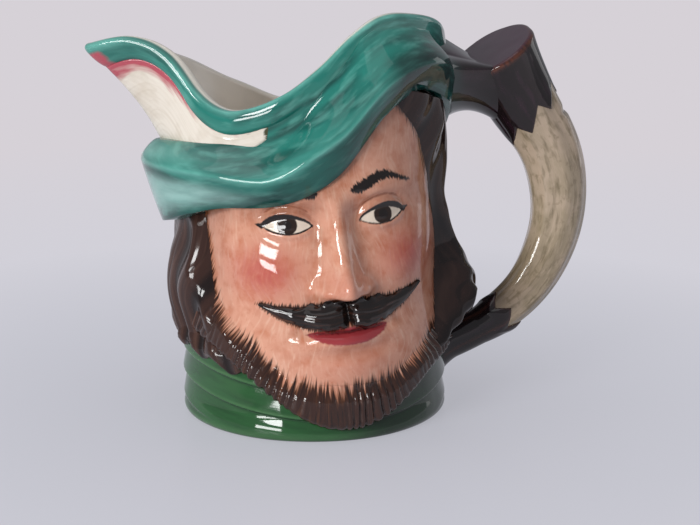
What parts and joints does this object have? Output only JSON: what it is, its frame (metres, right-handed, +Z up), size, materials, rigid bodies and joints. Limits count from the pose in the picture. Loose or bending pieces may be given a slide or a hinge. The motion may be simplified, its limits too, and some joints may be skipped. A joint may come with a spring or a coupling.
{
  "type": "character jug",
  "caption": "Hand-painted glazed earthenware jug shaped as a bearded head in a feathered hat, with a pouring spout in the brim and a horn-shaped handle.",
  "frame": {"origin": "centre of the flat base, on the surface that the jug stands on", "axes": "+Z up, the face looks along -Y, the spout points to -X and the handle stands at +X"},
  "size_m": [0.1281, 0.0793, 0.1024],
  "materials": {
    "white_glaze": "clear gloss glaze over white earthenware",
    "collar_green_glaze": "dark green underglaze under a clear gloss glaze",
    "skin_glaze": "brushed flesh-coloured underglaze under a clear gloss glaze",
    "beard_brown_glaze": "brushed brown underglaze under a clear gloss glaze",
    "hair_brown_glaze": "very dark brown underglaze under a clear gloss glaze",
    "hat_green_glaze": "brushed teal green underglaze under a clear gloss glaze",
    "feather_cream_glaze": "cream and pink underglaze under a clear gloss glaze",
    "horn_dark_glaze": "purple-brown underglaze under a clear gloss glaze",
    "horn_cream_glaze": "streaked cream and olive underglaze under a clear gloss glaze"
  },
  "bodies": {
    "root": {"vessel": "white_glaze", "collar": "collar_green_glaze", "face": "skin_glaze", "beard": "beard_brown_glaze", "moustache_left": "beard_brown_glaze", "moustache_right": "beard_brown_glaze", "hair_left": "hair_brown_glaze", "hair_right": "hair_brown_glaze", "hair_back": "hair_brown_glaze", "hat_crown": "hat_green_glaze", "hat_brim": "hat_green_glaze", "feather": "feather_cream_glaze", "horn_bell": "horn_dark_glaze", "horn_barrel": "horn_cream_glaze", "horn_tip": "horn_dark_glaze", "upper_slip_joint": "horn_dark_glaze", "lower_slip_joint": "horn_dark_glaze"}
  },
  "joints": []
}
